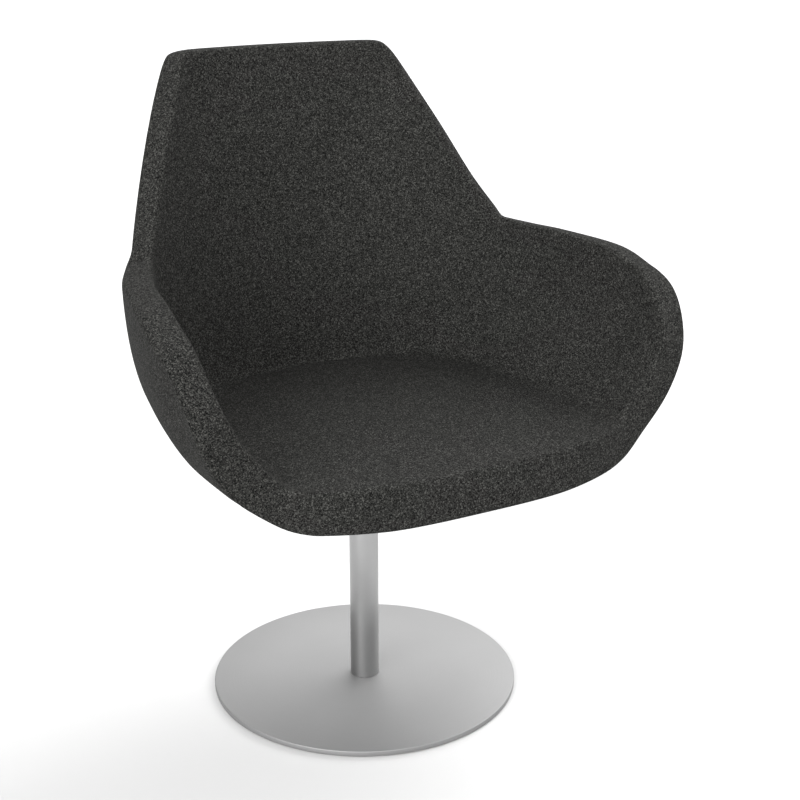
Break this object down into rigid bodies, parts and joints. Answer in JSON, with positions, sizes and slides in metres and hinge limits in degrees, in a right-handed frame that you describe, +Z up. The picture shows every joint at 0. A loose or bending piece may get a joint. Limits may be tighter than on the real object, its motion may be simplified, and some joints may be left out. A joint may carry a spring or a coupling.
{
  "type": "pedestal swivel armchair",
  "caption": "Upholstered one-piece bucket armchair with wing arms and a tapered back, turning on a round column and a flat disc base.",
  "frame": {"origin": "on the floor, on the axis that the seat turns about (centre of the floor pad's underside)", "axes": "the chair faces -Y, +X is at the sitter's left hand, +Z is up"},
  "size_m": [0.748, 0.5939, 0.9153],
  "materials": {
    "pad": "matt black floor pad",
    "satin_steel": "satin light grey metal",
    "zinc_steel": "zinc-plated fixings",
    "plain_steel": "plain steel, unseen",
    "bearing_steel": "ground bearing steel",
    "spring_steel": "blackened steel",
    "bearing_plastic": "natural nylon",
    "black_plastic": "matt black moulding",
    "cage_brass": "plain brass",
    "shell": "moulded shell, unseen",
    "foam": "moulded foam, unseen",
    "upholstery": "charcoal mottled tweed"
  },
  "bodies": {
    "pedestal": {"floor_pad": "pad", "base_plate": "satin_steel", "base_screw": "zinc_steel", "locating_pin": "zinc_steel", "column_plug": "plain_steel", "column_tube": "satin_steel", "bearing_housing": "plain_steel", "lower_bush": "bearing_plastic", "upper_bush": "bearing_plastic", "bearing_lower_race": "bearing_steel", "column_seal": "black_plastic"},
    "ball_set": {"bearing_cage": "cage_brass", "bearing_balls": "bearing_steel"},
    "seat": {"bearing_upper_race": "bearing_steel", "swivel_spindle": "satin_steel", "retaining_washer": "zinc_steel", "retaining_ring": "spring_steel", "mounting_plate": "plain_steel", "seat_bolts": "zinc_steel", "seat_washers": "zinc_steel", "nut_plate": "plain_steel", "weld_nuts": "zinc_steel", "shell_core": "shell", "seat_foam": "foam", "arm_foam": "foam", "back_foam": "foam", "under_foam": "foam", "side_foam": "foam", "rear_foam": "foam", "edge_foam": "foam", "inner_cover": "upholstery", "edge_cover": "upholstery", "outer_cover": "upholstery", "trim_disc": "black_plastic", "trim_screws": "spring_steel"}
  },
  "joints": [
    {"name": "swivel", "type": "hinge", "parent": "pedestal", "child": "seat", "pos_m": [0, 0, 0.3], "axis": [0, 0, 1], "continuous": true},
    {"name": "cage_spin", "type": "hinge", "parent": "pedestal", "child": "ball_set", "pos_m": [0, 0, 0.3], "axis": [0, 0, 1], "continuous": true}
  ],
  "couplings": [
    {"joint": "cage_spin", "follows": "swivel", "ratio": 0.5}
  ]
}
